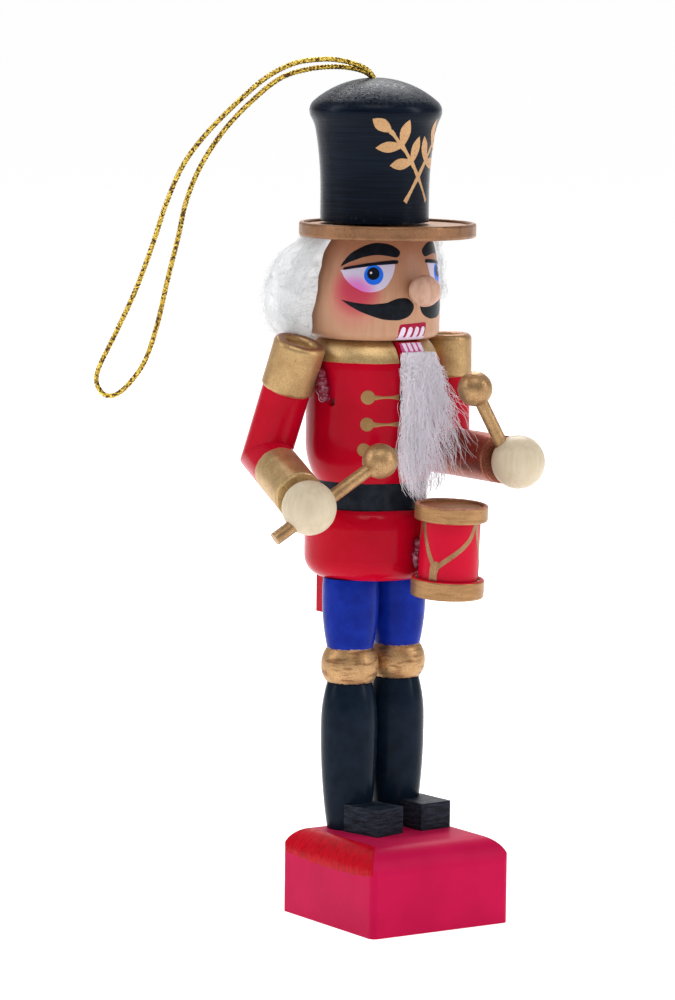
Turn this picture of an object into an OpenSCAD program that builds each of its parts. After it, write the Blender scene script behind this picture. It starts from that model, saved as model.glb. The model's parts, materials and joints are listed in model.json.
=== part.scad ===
// Hanging nutcracker drummer: turned and painted wooden pieces glued up on a square block,
// with a jaw lever that swings on a cross pin in the slotted body.
// The block's underside lies at z = 0, centred on the origin, and the figure looks along -Y.

/* [Base block] */
// Side of the square block
base_side = 24.5; // [24:0.5:26]
// Height of the block
base_height = 12.95; // [12:0.05:14]
// Height over which the four top edges are rounded
base_drop = 3.9; // [3.5:0.1:4.2]
// Distance of the figure's axis behind the middle of the block
figure_back = 7.8; // [7.4:0.1:8]
// Turn of the whole figure on the block, in degrees
figure_turn = 4; // [3:0.5:5]

/* [Legs] */
// Length of a leg between the block and the body
leg_length = 37.9; // [37.4:0.05:38.4]
// Largest diameter of boot and thigh
leg_d = 8.48; // [8.4:0.02:8.5]
// Half the distance between the two legs
leg_spread = 4.45; // [4.4:0.05:4.5]
// Width of a shoe block
shoe_width = 5.5; // [5.2:0.1:5.6]
// Height of a shoe block
shoe_height = 4.1; // [3.8:0.1:4.4]

/* [Body] */
// Diameter of chest and skirt
body_d = 19.86; // [19.8:0.02:19.9]
// Height of the turned body
body_height = 35.85; // [35.65:0.05:36.05]
// Diameter of the belt
belt_d = 16.7; // [16.4:0.1:17]
// Width of the jaw lever
lever_width = 4.3; // [4.2:0.1:4.4]
// Free play of the lever on each side of its slot
lever_play = 0.25; // [0.2:0.01:0.3]
// Diameter of the pin that the lever swings on
pin_d = 1.4; // [1.2:0.1:1.6]

/* [Head and hat] */
// Height of the head
head_height = 15.05; // [15:0.05:15.2]
// Largest diameter of the head
head_d = 19.8; // [19.6:0.1:19.8]
// Diameter of the nose ball
nose_d = 4.7; // [4.5:0.1:4.8]
// Diameter of the hat brim
brim_d = 26.3; // [26:0.1:27]
// Thickness of the hat brim
brim_thick = 2.1; // [2:0.05:2.2]
// Distance of the brim's centre in front of the figure's axis
brim_forward = 3.2; // [3:0.1:3.4]
// Height of the hat crown
crown_height = 21.25; // [21.1:0.05:21.4]

/* [Arms] */
// Diameter of upper arm and forearm
arm_d = 7.2; // [7.1:0.05:7.3]
// Diameter of the shoulder cap at the top of an arm
cap_d = 7.8; // [7.7:0.05:7.8]
// Length of an upper arm, from its top to the middle of the elbow
upper_arm = 17.8; // [17.6:0.1:18]
// Usual length from the middle of the elbow to the middle of the hand ball
forearm = 19; // [18.8:0.1:19.2]
// Diameter of a hand ball
hand_d = 8; // [7.8:0.1:8]
// Diameter of a drumstick
stick_d = 1.95; // [1.8:0.05:2]
// Diameter of the ball on a drumstick
tip_d = 5.2; // [5:0.1:5.2]
// Distance from the middle of the hand to the middle of the drumstick's ball
stick_reach = 12.8; // [12.6:0.1:13]

/* [Drum] */
// Diameter of the drum's rims
drum_d = 10.9; // [10.6:0.1:11]
// Diameter of the drum's shell between its rims
drum_waist = 8.85; // [8.6:0.05:9]
// Height of the drum
drum_height = 13.85; // [13.6:0.05:13.9]

/* [Hidden] */
$fn = 64;
arc_facets = 600;

// Heights of the joints between the stacked pieces
hip_z = base_height + leg_length;
neck_z = hip_z + body_height;
brim_z = neck_z + head_height;
crown_z = brim_z + brim_thick;
top_z = crown_z + crown_height;

// Block: how far its sides, and its front and back, are drawn in at the top; its upright edges
base_inset = [2.9, 3.8];
base_corner = 1;

// Radial gap of a glued dowel in its hole, and of the lever on its pin
glue_gap = 0.03;
pin_play = 0.05;

// Legs: how far their axes lie in front of the body's, the tenons at both ends, and the
// heights of the knee's two ends above the block, right and left for the lower end
leg_forward = 1.1;
tenon_d = 4.5;
tenon_length = 4.8;
boot_top = [22.05, 22.25];
knee_top = 27.25;
knee_d = 8.6;

// Shoes, right and left: turn, sideways shift and reach in front of the leg
shoe_turn = [10, 0];
shoe_shift = [-0.4, 1];
shoe_reach = [9, 8.75];

// Body: ends of the skirt and start of the chest above the hip
skirt_top = 10.55;
chest_bottom = 14.55;

// Nose: middle of its ball above the neck and in front of the axis, and its peg
nose_up = 7.5;
nose_out = 12.25;
nose_peg_d = 1.2;
nose_peg_reach = 5.2;

// Dowels
neck_dowel_d = 3;
neck_dowel_back = 1;
neck_dowel_down = 4.3;
neck_dowel_up = 5;
hat_dowel_d = 4;
hat_dowel_down = 5;
hat_dowel_up = 6;
cord_hole_d = 2.6;
cord_hole_depth = 4;

// Jaw: distance of the pin in front of the axis and above the hip, and the side views of
// the lever and of its slot, as [distance behind the axis, height above the hip]
pin_forward = 2.5;
pin_up = 26.65;
lever_side = [[-8.6, 35.6], [-9.7, 33.75], [-9.98, 31.45], [-9.98, 28.35], [-5.8, 27.05],
    [-4, 23.65], [2.6, 12.65], [7.6, 5.65], [7.6, -6.65], [10.4, -6.65], [10.4, 7.15],
    [-0.6, 28.95], [-5.2, 35.6]];
slot_side = [[-11, 36.65], [-11, 25.35], [-5.8, 25.35], [-4.5, 23.15], [2.2, 12.25], [7.2, 5.35],
    [7.2, -1.85], [11.5, -1.85], [11.5, 18.95], [10.6, 18.95], [0, 30.15], [-4.7, 35.35],
    [-4.7, 36.65]];

// Arms, right and left: a point beside the body near the arm's top, and the arm's lean, splay
// and turn; how far its cap reaches below and above that point; and how much longer than
// usual the forearm is
shoulder_at = [[-13.6, 0.1, neck_z - 0.9], [13.95, 0, neck_z - 0.1]];
arm_pose = [[17, 10, -14], [0, -1, -4]];
cap_length = [7, 6.4];
cap_rise = [0.75, 0];
forearm_extra = [0.55, -0.2];
wrist_gap = 3.6;
groove_from_wrist = 0.8;

// Drumsticks, right and left: tilt in the hand, how far they pass beside the hand's middle,
// and length left behind the hand's middle
stick_pose = [[-11.5, 47.9, 0], [-9, -24.5, 0]];
stick_aside = [[0.59, -0.36, 0], [-0.95, 0.53, 0]];
stick_tail = [6.9, 2.6];
stick_in_ball = 1.4;

// Drum: direction from the figure's axis, lean away from it, gap to the skirt, depth of its
// underside below the hip, and heights of its two rims
drum_turn = 11;
drum_lean = 3;
drum_gap = 0.12;
drum_drop = 1.75;
rim_low = 2.8;
rim_high = 2.45;
drum_distance = (body_d + drum_d) / 2 + drum_gap;

// Hair: inner and outer radius of the roll of fleece around the back of the head
hair_roll = 10;
hair_out = 16.6;
hair_low = 1.2;
hair_mid = 5.4;
hair_sweep = 168;

// Cord: diameter, and the route of its loop, seen square on to the plane that it hangs in
cord_d = 0.8;
cord_turn = -34;
cord_ring_gap = 2.2;
cord_sides = 8;
cord_route = [
    [-0.1, -0.5, top_z - cord_hole_depth], [-0.2, -0.5, 124.2], [-0.6, -0.5, 125.4],
    [-1.6, -0.5, 126.4], [-3.3, -0.5, 127.1], [-5.5, -0.5, 127.6], [-8, -0.4, 127.7],
    [-12, -0.4, 127.1], [-16, -0.4, 125.1], [-20, -0.4, 121.7], [-25, -0.4, 116.6],
    [-28.5, -0.4, 111.8], [-31, -0.3, 106], [-33, -0.3, 99.8], [-35.5, -0.2, 93],
    [-38.5, -0.1, 86.4], [-40.8, 0, 81.6], [-41.2, 0, 79.2], [-40, 0, 77.4],
    [-38, 0, 77.6], [-35.6, 0, 80], [-33.8, 0.1, 83], [-32.2, 0.2, 88], [-30.8, 0.3, 94.3],
    [-29.2, 0.3, 101], [-28, 0.4, 106.5], [-25.8, 0.4, 111.9], [-22.4, 0.4, 117.1],
    [-18.4, 0.4, 121.4], [-14.2, 0.4, 124.8], [-10, 0.5, 126.2], [-6, 0.5, 126.6],
    [-3, 0.5, 126.3], [-1.2, 0.5, 125.6], [-0.4, 0.5, 124.4],
    [-0.1, 0.5, top_z - cord_hole_depth]];

wood_red = [0.78, 0.05, 0.09];
wood_gold = [0.72, 0.53, 0.26];
wood_bare = [0.85, 0.66, 0.46];
wood_black = [0.08, 0.09, 0.12];
wood_pale = [0.93, 0.87, 0.74];

// ---------------------------------------------------------------- shared shapes

// Puts its children on the figure's axis, in the figure's own turn
module figure() {
    translate([0, figure_back, 0]) rotate(figure_turn) children();
}

// Radius of an arc that pulls in by `inset` over `height`, tangent at its far end
function arc_radius(inset, height) = (height * height + inset * inset) / (2 * inset);

// Half outline of a turned piece of radius r, whose two ends are drawn in by arcs
module turned_outline(z0, z1, r, low_inset, low_height, high_inset, high_height) {
    low_arc = arc_radius(low_inset, low_height);
    high_arc = arc_radius(high_inset, high_height);
    low_z = z0 + low_height;
    high_z = z1 - high_height;
    translate([0, low_z]) square([r, high_z - low_z]);
    intersection() {
        translate([0, z0]) square([r, low_height]);
        translate([r - low_arc, low_z]) circle(low_arc, $fn = arc_facets);
    }
    intersection() {
        translate([0, high_z]) square([r, high_height]);
        translate([r - high_arc, high_z]) circle(high_arc, $fn = arc_facets);
    }
}

// ---------------------------------------------------------------- base and legs

// Side view of the block, whose top is drawn in by `inset` on both sides
module base_outline(inset) {
    half = base_side / 2;
    arc = arc_radius(inset, base_drop);
    translate([-half, 0]) square([base_side, base_height - base_drop]);
    translate([arc - half, 0]) square([base_side - 2 * arc, base_height]);
    intersection() {
        translate([-half, 0]) square([base_side, base_height]);
        for (side = [-1, 1]) translate([side * (half - arc), base_height - base_drop])
            circle(arc, $fn = arc_facets);
    }
}

// Plan of the block, with its four upright edges rounded
module base_plan() {
    reach = base_side / 2 - base_corner;
    square([base_side, 2 * reach], center = true);
    square([2 * reach, base_side], center = true);
    for (x = [-reach, reach], y = [-reach, reach]) translate([x, y]) circle(base_corner);
}

module base() {
    color(wood_red) difference() {
        intersection() {
            rotate([90, 0, 0]) linear_extrude(base_side, center = true)
                base_outline(base_inset[0]);
            rotate([90, 0, 90]) linear_extrude(base_side, center = true)
                base_outline(base_inset[1]);
            linear_extrude(base_height) base_plan();
        }
        figure() for (side = [-1, 1])
            translate([side * leg_spread, -leg_forward, base_height - tenon_length - 0.2])
                cylinder(d = tenon_d + 2 * glue_gap, h = tenon_length + 1);
    }
}

// One turned leg with boot, knee, thigh and a tenon at each end
module leg(side) {
    r = leg_d / 2;
    knee_low = boot_top[side < 0 ? 0 : 1];
    figure() translate([side * leg_spread, -leg_forward, base_height]) {
        rotate_extrude() {
            turned_outline(0, knee_low, r, 1.1, 14.5, 0.85, 6.2);
            turned_outline(knee_low, knee_top, knee_d / 2, 1, 2.4, 0.75, 2.4);
            turned_outline(knee_top, leg_length, r, 0.8, 7.3, 0.15, 1.6);
        }
        translate([0, 0, -tenon_length]) cylinder(d = tenon_d, h = tenon_length + 1);
        translate([0, 0, leg_length - 1]) cylinder(d = tenon_d, h = tenon_length + 1);
    }
}

module leg_right() {
    color("royalblue") leg(-1);
}

module leg_left() {
    color("royalblue") leg(1);
}

// One rough shoe block, hollowed at its heel to fit around the boot
module shoe(side) {
    i = side < 0 ? 0 : 1;
    heel = 1.5;
    figure() translate([side * leg_spread, -leg_forward, base_height]) rotate(shoe_turn[i])
        difference() {
            translate([shoe_shift[i] - shoe_width / 2, -shoe_reach[i], 0])
                cube([shoe_width, shoe_reach[i] - heel, shoe_height]);
            translate([0, 0, -1]) cylinder(r = 3.75, h = shoe_height + 2);
        }
}

module shoe_right() {
    color(wood_black) shoe(-1);
}

module shoe_left() {
    color(wood_black) shoe(1);
}

// ---------------------------------------------------------------- body and jaw

// Extrudes a side view across the body, over the given width
module across(width) {
    rotate([90, 0, 90]) linear_extrude(width, center = true) children();
}

module torso() {
    color(wood_red) figure() translate([0, 0, hip_z]) difference() {
        rotate_extrude() {
            turned_outline(0, skirt_top, body_d / 2, 2, 3, 1.3, 2.8);
            translate([0, skirt_top - 0.5]) square([belt_d / 2, chest_bottom - skirt_top + 1]);
            turned_outline(chest_bottom, body_height, body_d / 2, 1.5, 5.6, 2.2, 4.4);
        }
        across(lever_width + 2 * lever_play) polygon(slot_side);
        translate([0, -pin_forward, pin_up]) rotate([0, 90, 0])
            cylinder(d = pin_d, h = body_d + 2, center = true);
        for (side = [-1, 1]) translate([side * leg_spread, -leg_forward, -1])
            cylinder(d = tenon_d + 2 * glue_gap, h = tenon_length + 1.2);
        translate([0, neck_dowel_back, body_height - neck_dowel_down - 0.1])
            cylinder(d = neck_dowel_d + 2 * glue_gap, h = neck_dowel_down + 1);
    }
}

module jaw_lever() {
    color(wood_red) figure() translate([0, 0, hip_z]) difference() {
        across(lever_width) polygon(lever_side);
        translate([0, -pin_forward, pin_up]) rotate([0, 90, 0])
            cylinder(d = pin_d + 2 * pin_play, h = lever_width + 2, center = true);
    }
}

module pivot_pin() {
    color("silver") figure() translate([0, -pin_forward, hip_z + pin_up]) rotate([0, 90, 0])
        cylinder(d = pin_d, h = body_d - 2, center = true);
}

module beard() {
    front = -13.4;
    back = -9.98;
    color("white") figure() translate([0, front, 0]) rotate([90, 0, 0]) mirror([0, 0, 1])
        linear_extrude(back - front)
            polygon([[-2.3, 84.6], [2.9, 84.6], [4.4, 79], [5, 71], [3.4, 63.7], [-0.8, 63.7],
                [-2.8, 70], [-2.8, 79]]);
}

// ---------------------------------------------------------------- head and hat

module neck_dowel() {
    color(wood_pale) figure() translate([0, neck_dowel_back, neck_z - neck_dowel_down])
        cylinder(d = neck_dowel_d, h = neck_dowel_down + neck_dowel_up);
}

module head() {
    color(wood_bare) figure() translate([0, 0, neck_z]) difference() {
        rotate_extrude() turned_outline(0, head_height, head_d / 2, 1.1, 1.3, 1.3, 9.5);
        translate([0, neck_dowel_back, -1])
            cylinder(d = neck_dowel_d + 2 * glue_gap, h = neck_dowel_up + 1.2);
        translate([0, 0, head_height - hat_dowel_down - 0.2])
            cylinder(d = hat_dowel_d + 2 * glue_gap, h = hat_dowel_down + 1);
        translate([0, 0.2 - nose_out, nose_up]) rotate([90, 0, 0]) mirror([0, 0, 1])
            cylinder(d = nose_peg_d + 2 * glue_gap, h = nose_peg_reach);
    }
}

module nose() {
    color(wood_bare) figure() translate([0, -nose_out, neck_z + nose_up]) {
        sphere(d = nose_d);
        rotate([90, 0, 0]) mirror([0, 0, 1]) cylinder(d = nose_peg_d, h = nose_peg_reach);
    }
}

module hat_brim() {
    color(wood_gold) figure() difference() {
        translate([0, -brim_forward, brim_z]) rotate_extrude()
            turned_outline(0, brim_thick, brim_d / 2, 0.25, 0.4, 0.25, 0.4);
        translate([0, 0, brim_z - 1])
            cylinder(d = hat_dowel_d + 2 * glue_gap, h = brim_thick + 2);
    }
}

// Half outline of the hat: a straight neck that flares out, a hollow that turns into the
// rounded rim, and a dome, each running into the next without a step
module crown_outline() {
    neck_r = 8.1;
    flare_start = 4.15;
    flare_arc = 54;
    hollow = 5;
    rim_middle = 7.87;
    rim_arc = 2;
    dome_arc = 14;
    dome_middle = crown_height - dome_arc;
    rim_height = dome_middle + sqrt(pow(dome_arc - rim_arc, 2) - pow(rim_middle, 2));
    dome_reach = rim_middle * dome_arc / (dome_arc - rim_arc);
    rim = [rim_middle, rim_height];
    flare = [neck_r + flare_arc, flare_start];
    from_rim = rim_arc + hollow;
    from_flare = flare_arc - hollow;
    gap = norm(flare - rim);
    toward = (flare - rim) / gap;
    along = (from_rim * from_rim - from_flare * from_flare + gap * gap) / (2 * gap);
    aside = sqrt(from_rim * from_rim - along * along);
    middle = rim + along * toward + aside * [toward[1], -toward[0]];
    low_touch = flare + (middle - flare) * flare_arc / from_flare;
    high_touch = rim + (middle - rim) * rim_arc / from_rim;
    difference() {
        square([rim_middle + rim_arc, low_touch[1]]);
        translate(flare) circle(flare_arc, $fn = arc_facets);
        translate([neck_r, 0]) square([flare_arc, flare_start]);
    }
    difference() {
        polygon([[0, low_touch[1]], low_touch, high_touch, [0, high_touch[1]]]);
        translate(middle) circle(hollow, $fn = arc_facets);
    }
    square([rim_middle, rim_height]);
    translate(rim) circle(rim_arc, $fn = arc_facets);
    intersection() {
        translate([0, rim_height]) square([dome_reach, crown_height]);
        translate([0, dome_middle]) circle(dome_arc, $fn = arc_facets);
    }
}

module hat_crown() {
    color(wood_black) figure() translate([0, 0, crown_z]) difference() {
        rotate_extrude() crown_outline();
        translate([0, 0, -1]) cylinder(d = hat_dowel_d + 2 * glue_gap, h = hat_dowel_up + 1.2);
        translate([0, 0, crown_height - cord_hole_depth])
            cylinder(d = cord_hole_d, h = cord_hole_depth + 1);
    }
}

module hat_dowel() {
    color(wood_pale) figure() translate([0, 0, brim_z - hat_dowel_down])
        cylinder(d = hat_dowel_d, h = hat_dowel_down + brim_thick + hat_dowel_up);
}

module hair() {
    color("white") figure() translate([0, 0, neck_z]) rotate(90 - hair_sweep / 2)
        rotate_extrude(angle = hair_sweep) intersection() {
            translate([head_d / 2 + 0.05, hair_low])
                square([hair_roll, head_height - hair_low - 0.1]);
            translate([hair_out - hair_roll, hair_mid]) circle(hair_roll);
        }
}

// ---------------------------------------------------------------- arms and drumsticks

// Puts its children in an arm's own frame: upper arm down along -Z, forearm along -Y
module arm(side) {
    i = side < 0 ? 0 : 1;
    figure() translate(shoulder_at[i]) rotate(arm_pose[i]) children();
}

// Distance from the middle of the elbow to the middle of the hand
function hand_reach(side) = forearm + forearm_extra[side < 0 ? 0 : 1];

// Half space that lies beyond the mitre of the elbow, above it or below it
module beyond_elbow(above) {
    big = 30;
    translate([0, 0, -upper_arm]) rotate([-45, 0, 0])
        translate([-big / 2, -big / 2, above ? 0 : -big]) cube(big);
}

module upper_arm(side) {
    i = side < 0 ? 0 : 1;
    arm(side) difference() {
        rotate_extrude() {
            translate([0, -upper_arm - arm_d]) square([arm_d / 2, upper_arm + arm_d - 1]);
            turned_outline(-cap_length[i], cap_rise[i], cap_d / 2, 0.4, 0.5, 0.9, 0.9);
        }
        beyond_elbow(false);
    }
}

module upper_arm_right() {
    color(wood_red) upper_arm(-1);
}

module upper_arm_left() {
    color(wood_red) upper_arm(1);
}

// Puts its children at the middle of the hand
module at_hand(side) {
    arm(side) translate([0, -hand_reach(side), -upper_arm]) children();
}

module forearm_piece(side) {
    wrist = hand_reach(side) - wrist_gap;
    arm(side) difference() {
        translate([0, 0, -upper_arm]) rotate([90, 0, 0]) difference() {
            translate([0, 0, -arm_d]) cylinder(d = arm_d, h = wrist + arm_d);
            translate([0, 0, wrist - groove_from_wrist]) rotate_extrude()
                translate([arm_d / 2 + 0.1, 0]) circle(0.4);
            translate([0, 0, hand_reach(side)]) sphere(d = hand_d + 0.04);
        }
        beyond_elbow(true);
    }
}

module forearm_right() {
    color(wood_gold) forearm_piece(-1);
}

module forearm_left() {
    color(wood_gold) forearm_piece(1);
}

// Puts its children on the drumstick's axis beside the hand's middle, with Z along the stick
module along_stick(side) {
    i = side < 0 ? 0 : 1;
    at_hand(side) rotate(stick_pose[i]) translate(stick_aside[i]) children();
}

module hand(side) {
    i = side < 0 ? 0 : 1;
    bore = stick_d + 2 * glue_gap;
    difference() {
        at_hand(side) sphere(d = hand_d);
        along_stick(side) translate([0, 0, -stick_tail[i] - glue_gap])
            cylinder(d = bore, h = stick_tail[i] + hand_d);
    }
}

module hand_right() {
    color(wood_pale) hand(-1);
}

module hand_left() {
    color(wood_pale) hand(1);
}

module drumstick(side) {
    i = side < 0 ? 0 : 1;
    along_stick(side) translate([0, 0, -stick_tail[i]])
        cylinder(d = stick_d, h = stick_tail[i] + stick_reach - stick_in_ball);
}

module drumstick_right() {
    color(wood_gold) drumstick(-1);
}

module drumstick_left() {
    color(wood_gold) drumstick(1);
}

module drumstick_ball(side) {
    along_stick(side) translate([0, 0, stick_reach]) difference() {
        sphere(d = tip_d);
        translate([0, 0, -tip_d])
            cylinder(d = stick_d + 2 * glue_gap, h = tip_d - stick_in_ball + glue_gap);
    }
}

module drumstick_ball_right() {
    color(wood_gold) drumstick_ball(-1);
}

module drumstick_ball_left() {
    color(wood_gold) drumstick_ball(1);
}

// ---------------------------------------------------------------- drum and glue

// Puts its children a distance out from the figure's axis, in the drum's direction
module toward_drum(distance) {
    figure() rotate(drum_turn) translate([0, -distance, 0]) children();
}

module drum() {
    edge = 0.35;
    middle = drum_height / 2;
    color(wood_red) toward_drum(drum_distance) translate([0, 0, hip_z - drum_drop + middle])
        rotate([drum_lean, 0, 0]) rotate_extrude() {
            turned_outline(-middle, rim_low - middle, drum_d / 2, edge, edge, edge, edge);
            translate([0, rim_low - middle - 0.5])
                square([drum_waist / 2, drum_height - rim_low - rim_high + 1]);
            turned_outline(middle - rim_high, middle, drum_d / 2, edge, edge, edge, edge);
        }
}

// A blot of dried glue made of round drops that run together, each [x, y, z, diameter]
module glue_drops(drops) {
    for (drop = drops) translate([drop[0], drop[1], drop[2]]) sphere(d = drop[3]);
}

module shoulder_glue() {
    color("whitesmoke") figure() translate([0, 0, neck_z]) {
        glue_drops([[-10.55, -2, -8.5, 1.7], [-10.6, -1.8, -7.4, 2.1], [-10.75, -1.7, -6.2, 2],
            [-10.8, -1.5, -5.1, 1.7]]);
        glue_drops([[10.4, -2.5, -8, 1.5], [10.35, -2.3, -7, 1.7], [10.35, -2.4, -5.9, 1.6],
            [10.4, -2.2, -4.9, 1.4]]);
    }
}

module drum_glue() {
    color("whitesmoke") toward_drum(body_d / 2 + 0.55) translate([-1.1, 0, hip_z])
        glue_drops([[0, 0.05, 2.8, 1.8], [-0.2, 0, 3.9, 2], [0, 0, 5, 1.8], [-0.1, 0, 5.9, 1.6]]);
}

// ---------------------------------------------------------------- cord

// Point on a Catmull-Rom curve through the route, at t between its points i and i + 1
function route_point(p, i, t) =
    let (last = len(p) - 1, a = p[max(i - 1, 0)], b = p[i], c = p[min(i + 1, last)],
        d = p[min(i + 2, last)])
    0.5 * (2 * b + (c - a) * t + (2 * a - 5 * b + 4 * c - d) * t * t
        + (3 * b - a - 3 * c + d) * t * t * t);

function unit(v) = v / norm(v);

// Centres of the rings along the route, about one ring gap apart
cord_centres = [for (i = [0:len(cord_route) - 2])
    let (steps = max(1, round(norm(cord_route[i + 1] - cord_route[i]) / cord_ring_gap)))
    for (k = [0:steps - 1]) route_point(cord_route, i, k / steps),
    cord_route[len(cord_route) - 1]];

// Direction of the cord at ring i; the first and last rings lie flat in the hole
function cord_heading(i) =
    let (last = len(cord_centres) - 1)
    i == 0 ? [0, 0, 1] : i == last ? [0, 0, -1]
        : unit(cord_centres[i + 1] - cord_centres[i - 1]);

module hanging_cord() {
    count = len(cord_centres);
    rings = [for (i = [0:count - 1])
        let (heading = cord_heading(i), side = [0, 1, 0], up = unit(cross(heading, side)),
            across = cross(up, heading))
        for (k = [0:cord_sides - 1])
            let (angle = 360 * k / cord_sides)
            cord_centres[i] + cord_d / 2 * (cos(angle) * across + sin(angle) * up)];
    walls = [for (i = [0:count - 2]) for (k = [0:cord_sides - 1])
        let (next = (k + 1) % cord_sides, a = i * cord_sides, b = a + cord_sides)
        each [[a + k, a + next, b + k], [a + next, b + next, b + k]]];
    start = [for (k = [cord_sides - 1:-1:0]) k];
    end = [for (k = [0:cord_sides - 1]) (count - 1) * cord_sides + k];
    color("gold") translate([0, figure_back, 0]) rotate(cord_turn)
        polyhedron(rings, concat(walls, [start, end]));
}

// ---------------------------------------------------------------- every piece

base();
leg_right();
leg_left();
shoe_right();
shoe_left();
torso();
jaw_lever();
pivot_pin();
head();
nose();
neck_dowel();
hat_brim();
hat_crown();
hat_dowel();
upper_arm_right();
upper_arm_left();
forearm_right();
forearm_left();
hand_right();
hand_left();
drumstick_right();
drumstick_left();
drumstick_ball_right();
drumstick_ball_left();
drum();
shoulder_glue();
drum_glue();
hair();
beard();
hanging_cord();
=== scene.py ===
"""Looks for the hanging nutcracker drummer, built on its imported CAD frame."""
import math

import bpy
import numpy as np
from mathutils import Matrix, Vector
from mathutils.geometry import delaunay_2d_cdt
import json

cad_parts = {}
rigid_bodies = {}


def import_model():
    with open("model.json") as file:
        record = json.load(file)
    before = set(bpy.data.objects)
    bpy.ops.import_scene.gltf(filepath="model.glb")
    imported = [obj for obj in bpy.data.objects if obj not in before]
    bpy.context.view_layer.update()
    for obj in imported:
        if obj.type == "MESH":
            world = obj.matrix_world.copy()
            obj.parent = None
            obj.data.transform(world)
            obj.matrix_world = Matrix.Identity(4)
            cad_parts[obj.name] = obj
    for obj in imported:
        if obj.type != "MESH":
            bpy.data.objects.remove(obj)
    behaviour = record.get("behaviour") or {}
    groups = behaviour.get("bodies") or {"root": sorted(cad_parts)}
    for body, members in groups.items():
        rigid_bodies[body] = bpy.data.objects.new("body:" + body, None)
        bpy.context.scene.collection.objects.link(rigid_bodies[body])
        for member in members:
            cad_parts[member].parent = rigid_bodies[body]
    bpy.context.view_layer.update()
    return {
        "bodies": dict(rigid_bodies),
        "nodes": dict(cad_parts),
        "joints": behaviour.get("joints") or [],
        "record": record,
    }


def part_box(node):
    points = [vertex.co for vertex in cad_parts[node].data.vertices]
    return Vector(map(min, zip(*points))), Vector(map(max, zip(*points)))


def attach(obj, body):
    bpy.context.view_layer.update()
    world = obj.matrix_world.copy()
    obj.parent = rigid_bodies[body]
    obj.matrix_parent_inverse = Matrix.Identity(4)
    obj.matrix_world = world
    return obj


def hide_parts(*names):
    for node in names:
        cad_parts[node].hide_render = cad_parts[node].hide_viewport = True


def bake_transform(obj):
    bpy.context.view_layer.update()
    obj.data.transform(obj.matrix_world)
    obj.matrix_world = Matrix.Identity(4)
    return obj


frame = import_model()
nodes = frame["nodes"]

# ---- sizes, in millimetres

MM = 0.001
FIGURE_BACK = 7.8  # the figure's axis behind the block's middle
FIGURE_TURN = 4  # turn of the figure on the block, degrees


def turned_frame(degrees):
    """A frame on the figure's axis, turned about it."""
    return Matrix.Translation((0, FIGURE_BACK, 0)) @ Matrix.Rotation(math.radians(degrees), 4, "Z")


FIGURE = turned_frame(FIGURE_TURN)

BASE_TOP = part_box("base")[1].z / MM
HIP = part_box("torso")[0].z / MM
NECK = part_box("torso")[1].z / MM
HEAD_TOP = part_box("head")[1].z / MM
CROWN_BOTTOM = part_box("hat_crown")[0].z / MM
CROWN_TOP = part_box("hat_crown")[1].z / MM
BELT_LOW, BELT_TOP, COLLAR_LOW = HIP + 10.55, HIP + 14.55, HIP + 32.6
CHEST_R, HEAD_R, DRUM_SHELL_R = 9.93, 9.9, 4.425
JAW_FRONT = -9.98

rng = np.random.default_rng(12)


def in_scene(name, data):
    """A new object in the scene."""
    made = bpy.data.objects.new(name, data)
    bpy.context.scene.collection.objects.link(made)
    return made


# ---- camera

def make_camera():
    """A long lens a little above the hat, in front of the figure and to its right."""
    azimuth, distance, height = math.radians(-34.31), 664.3, 141.3
    yaw, pitch, roll = 0.0140, 0.1177, 0.0119
    heading = azimuth + yaw
    level = Vector((math.cos(heading), math.sin(heading), 0))
    ahead = Vector((-math.sin(heading), math.cos(heading), 0))
    look = ahead * math.cos(pitch) - Vector((0, 0, 1)) * math.sin(pitch)
    up = level.cross(look)
    side = level * math.cos(roll) + up * math.sin(roll)
    top = up * math.cos(roll) - level * math.sin(roll)
    data = bpy.data.cameras.new("camera")
    data.sensor_width = 36
    data.lens = 162.3
    data.clip_start, data.clip_end = 0.05, 100
    camera = in_scene("camera", data)
    place = Vector((math.sin(azimuth) * distance, -math.cos(azimuth) * distance, height)) * MM
    turn = Matrix((side, top, -look)).transposed()
    camera.matrix_world = Matrix.Translation(place) @ turn.to_4x4()
    bpy.context.scene.camera = camera


make_camera()


# ---- mesh helpers

def new_piece(name, points_mm, faces, material, body):
    """A mesh piece from points in millimetres. One that bends between bodies rides on none."""
    mesh = bpy.data.meshes.new(name)
    mesh.from_pydata([tuple(p) for p in np.asarray(points_mm, float) * MM], [], faces)
    mesh.validate()
    mesh.update()
    mesh.shade_smooth()
    mesh.materials.append(material)
    piece = in_scene(name, mesh)
    if body:
        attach(piece, body)
    return piece


def arc_inset(inset, height, step):
    """How far an arc that pulls in by inset over height has pulled in after step."""
    radius = (height * height + inset * inset) / (2 * inset)
    return radius - math.sqrt(max(0.0, radius * radius - step * step))


def rounded_radius(z, low, high, radius, foot, top):
    """Radius of a cylinder whose ends pull in: foot and top are each an inset and its height."""
    if z < low + foot[1]:
        return radius - arc_inset(*foot, low + foot[1] - z)
    if z > high - top[1]:
        return radius - arc_inset(*top, z - (high - top[1]))
    return radius


def head_radius(z):
    return rounded_radius(z, NECK, HEAD_TOP, HEAD_R, (1.1, 1.3), (1.3, 9.5))


def chest_radius(z):
    return rounded_radius(z, BELT_TOP, NECK, CHEST_R, (1.5, 5.6), (2.2, 4.4))


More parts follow.
